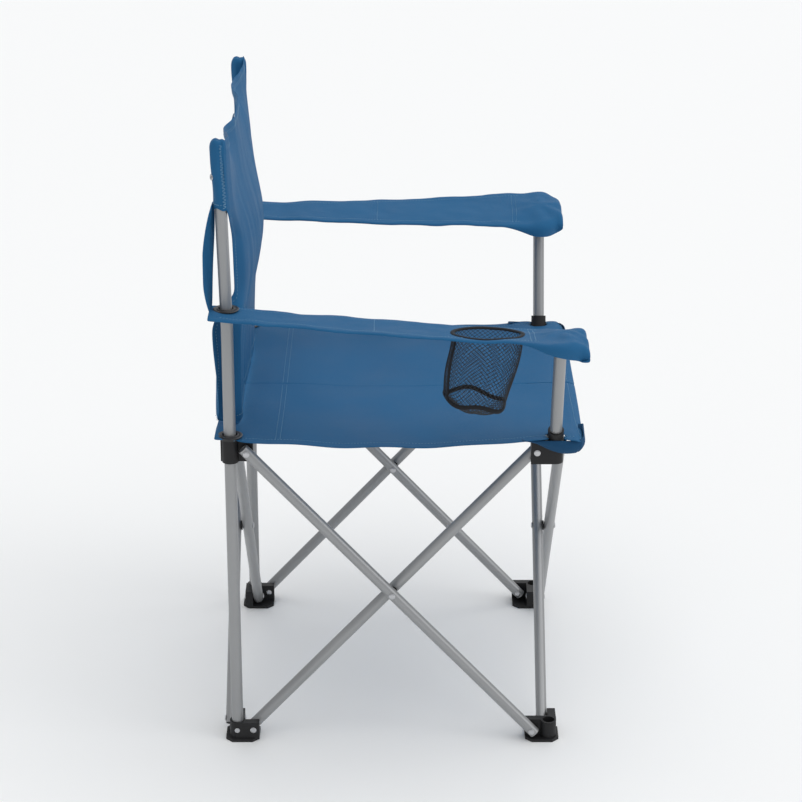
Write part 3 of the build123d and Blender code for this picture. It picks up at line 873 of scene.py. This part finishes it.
sleeve_parts = []
for side, sign in (("right", -1), ("left", 1)):
    sleeve_height = back_high.z - sleeve_low_z
    girth = math.tau * sleeve_r
    sleeve_bm = flat_sheet(girth, sleeve_height + sleeve_closing, 0.0037)
    for v in sleeve_bm.verts:
        turn = v.co.x / girth * math.tau
        up = v.co.y + (sleeve_height + sleeve_closing) / 2
        closing = ease((up - sleeve_height + 0.010) / 0.022)
        radius = sleeve_r * (1 - 0.96 * closing)
        radius += 0.0011 * math.sin(2 * turn + 60 * up) * (1 - closing)
        gathered = math.exp(-(((up - sleeve_height + 0.02) / 0.014) ** 2))
        radius += 0.0014 * math.sin(9 * turn + 2 * sign) * gathered
        z = sleeve_low_z + min(up, sleeve_height - 0.003) + 0.002 * math.sin(3 * turn) * (1 - closing)
        x = sign * half_spacing + radius * math.cos(turn)
        v.co = (x, pole_line(z) + radius * math.sin(turn), z)
    bmesh.ops.remove_doubles(sleeve_bm, verts=sleeve_bm.verts, dist=0.0002)
    sleeve = into_scene(sleeve_bm, f"back_sleeve_{side}", blue_cloth)
    sleeve_tree = sheet_tree(sleeve)
    low_turns = [math.tau * number / 20 for number in range(21)]
    low_centre = Vector((sign * half_spacing, straight_y + 0.009, sleeve_low_z + 0.007))
    low_row = [low_centre + Vector((math.cos(t), math.sin(t), 0)) * sleeve_r for t in low_turns]
    sleeve_thread = thread_run(sleeve_tree, [low_row], f"back_sleeve_{side}_stitches", stitch_thread)
    zigzag = []
    for number in range(37):
        t = math.radians(270 + sign * (60 + 20 * (-1) ** number))
        z = sleeve_low_z + 0.002 + 0.0023 * number
        round_pole = Vector((math.cos(t), math.sin(t), 0)) * sleeve_r
        zigzag.append(Vector((sign * half_spacing, pole_line(z), z)) + round_pole)
    seam = thread_run(sleeve_tree, [zigzag], f"back_sleeve_{side}_seam", stitch_thread, seam_stitch, 0.0004)
    thicken(sleeve, cloth_wall)
    eyelet_bm = bmesh.new()
    lip = bmesh.ops.create_circle(eyelet_bm, segments=10, radius=0.0011)
    bmesh.ops.transform(
        eyelet_bm, verts=lip["verts"],
        matrix=Matrix.Translation((0.0032, 0, 0)) @ Matrix.Rotation(math.radians(90), 4, "X"),
    )
    bmesh.ops.spin(
        eyelet_bm, geom=eyelet_bm.verts[:] + eyelet_bm.edges[:], cent=(0, 0, 0), axis=(0, 0, 1),
        angle=math.tau, steps=24, use_merge=True,
    )
    eyelet_z = sleeve_low_z + eyelet_rise
    eyelet_turn = math.radians(115 if sign < 0 else 65)
    outward = Vector((math.cos(eyelet_turn), math.sin(eyelet_turn), 0))
    bmesh.ops.transform(
        eyelet_bm, verts=eyelet_bm.verts,
        matrix=Matrix.Translation(
            Vector((sign * half_spacing, pole_line(eyelet_z), eyelet_z)) + outward * (sleeve_r + 0.001)
        ) @ outward.to_track_quat("Z", "Y").to_matrix().to_4x4(),
    )
    eyelet = into_scene(eyelet_bm, f"back_eyelet_{side}", zinc)
    sleeve_parts += [sleeve, sleeve_thread, seam, eyelet]
    for piece in (sleeve, sleeve_thread, seam, eyelet):
        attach(piece, f"back_{side}_foot")

for piece in (back, back_thread):
    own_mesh(piece)
    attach(piece, "back_right_foot")
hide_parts("backrest")

# Arm straps.
# A narrow hemmed tail of cloth runs from each armrest's rear end up behind the pole to the sleeve.
# It hangs a little slack and turns on edge in the middle.
for side, sign in (("right", -1), ("left", 1)):
    strap_low, strap_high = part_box(f"arm_strap_{side}")
    strap_w = strap_high.x - strap_low.x
    strap_length = strap_high.z - strap_low.z
    strap_bm = flat_sheet(strap_w, strap_length, 0.0036)
    for v in strap_bm.verts:
        share = v.co.y / strap_length + 0.5
        twist = sign * math.radians(48) * math.sin(math.pi * share) ** 0.8
        broad = v.co.x * (1 - 0.08 * math.sin(math.pi * share)) * (1 - 0.3 * ease((share - 0.92) / 0.08))
        z = strap_low.z - 0.003 + share * strap_length
        run_y = strap_high.y - 0.002 + (pole_line(z) + sleeve_r + 0.0012 - strap_high.y + 0.002) * ease(share)
        curl = 0.0014 * math.sin(v.co.x / strap_w * 7 + 40 * z)
        x = sign * half_spacing + broad * math.cos(twist) + curl
        clear = 0.0055 * math.sin(math.pi * share)
        v.co = (x, min(run_y + broad * math.sin(twist) * 0.9 + clear, strap_high.y + 0.006), z)
    strap = into_scene(strap_bm, f"arm_strap_{side}_cloth", blue_cloth)
    thicken(strap, 0.0016)
    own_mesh(strap)
    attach(strap, f"back_{side}_foot")
    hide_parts(f"arm_strap_{side}")

# Seat corner pockets.
# Under each front corner of the seat a patch is sewn to both hems and hangs outside the hub.
# Its cloth is a darker blue than the seat's, as painted shade under the seat's edge, and it bags where the hub
# pushes it out.
patch_side = 0.082
patch_front = 0.06
patch_drop = 0.021
patch_wall = 0.0013
# The pocket cloth's darker blue is painted shade for the shade under the seat's front edge.
pocket_shade_cloth = woven("blue polyester painted shade", (0.012, 0.06, 0.14), (0.017, 0.078, 0.172), 4200, (0.6, 0.8), 0.08)
for side, sign in (("right", -1), ("left", 1)):
    patch_length = patch_side + patch_front
    patch_bm = flat_sheet(patch_length, patch_drop, 0.0034)
    corner_x = seat_half_width - 0.0035
    corner_y = seat_low.y + 0.0045
    for v in patch_bm.verts:
        along = v.co.x + patch_length / 2
        down = 0.5 - v.co.y / patch_drop
        deep = patch_drop * ease(along / 0.06) * ease((patch_length - along) / 0.035) ** 0.6
        x = corner_x - max(along - patch_side, 0.0)
        y = corner_y + max(patch_side - along, 0.0)
        near_corner = math.exp(-(((along - patch_side) / 0.012) ** 2))
        inset = 0.0045 * near_corner + 0.005 * down ** 2 - 0.003 * math.sin(math.pi * down)
        x -= inset * (1 if along < patch_side + 0.006 else 0.2)
        y += inset * (1 if along > patch_side - 0.006 else 0.2)
        z = seat_top_z - 0.001 - deep * down + ripple((x, y, 0), 0.02, 0.0012, 5 + sign) * down
        v.co = (sign * x, y, z)
    patch = into_scene(patch_bm, f"corner_pocket_{side}", pocket_shade_cloth)
    thicken(patch, patch_wall)
    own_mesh(patch)
    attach(patch, arm_bodies[side])
